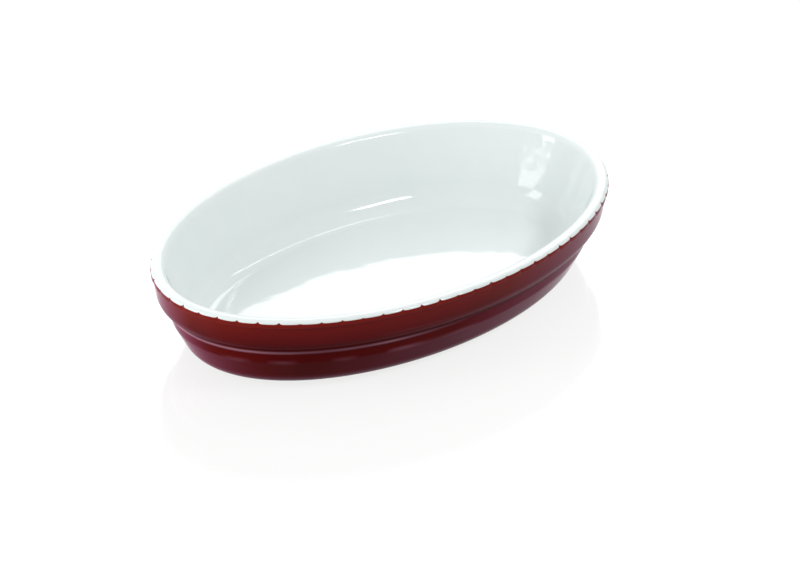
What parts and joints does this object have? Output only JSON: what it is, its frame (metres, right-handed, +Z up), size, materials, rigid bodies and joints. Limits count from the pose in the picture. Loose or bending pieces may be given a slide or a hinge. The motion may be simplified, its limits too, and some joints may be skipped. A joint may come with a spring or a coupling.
{
  "type": "gratin dish",
  "caption": "Oval glazed stoneware gratin dish: open basin with a scalloped rim, stepped wall and bare foot ring.",
  "frame": {"origin": "centre of the oval foot, in the plane that the dish stands on", "axes": "+Z up out of the dish, +X along its long axis, +Y across it"},
  "size_m": [0.28, 0.18, 0.049],
  "materials": {
    "fired_clay": "bare matt fired stoneware",
    "white_glaze": "gloss white glaze",
    "brown_glaze": "gloss red-brown glaze",
    "base_glaze": "gloss red-brown glaze"
  },
  "bodies": {
    "root": {"ceramic_body": "fired_clay", "white_inner_glaze": "white_glaze", "brown_outer_glaze": "brown_glaze", "brown_base_glaze": "base_glaze"}
  },
  "joints": []
}
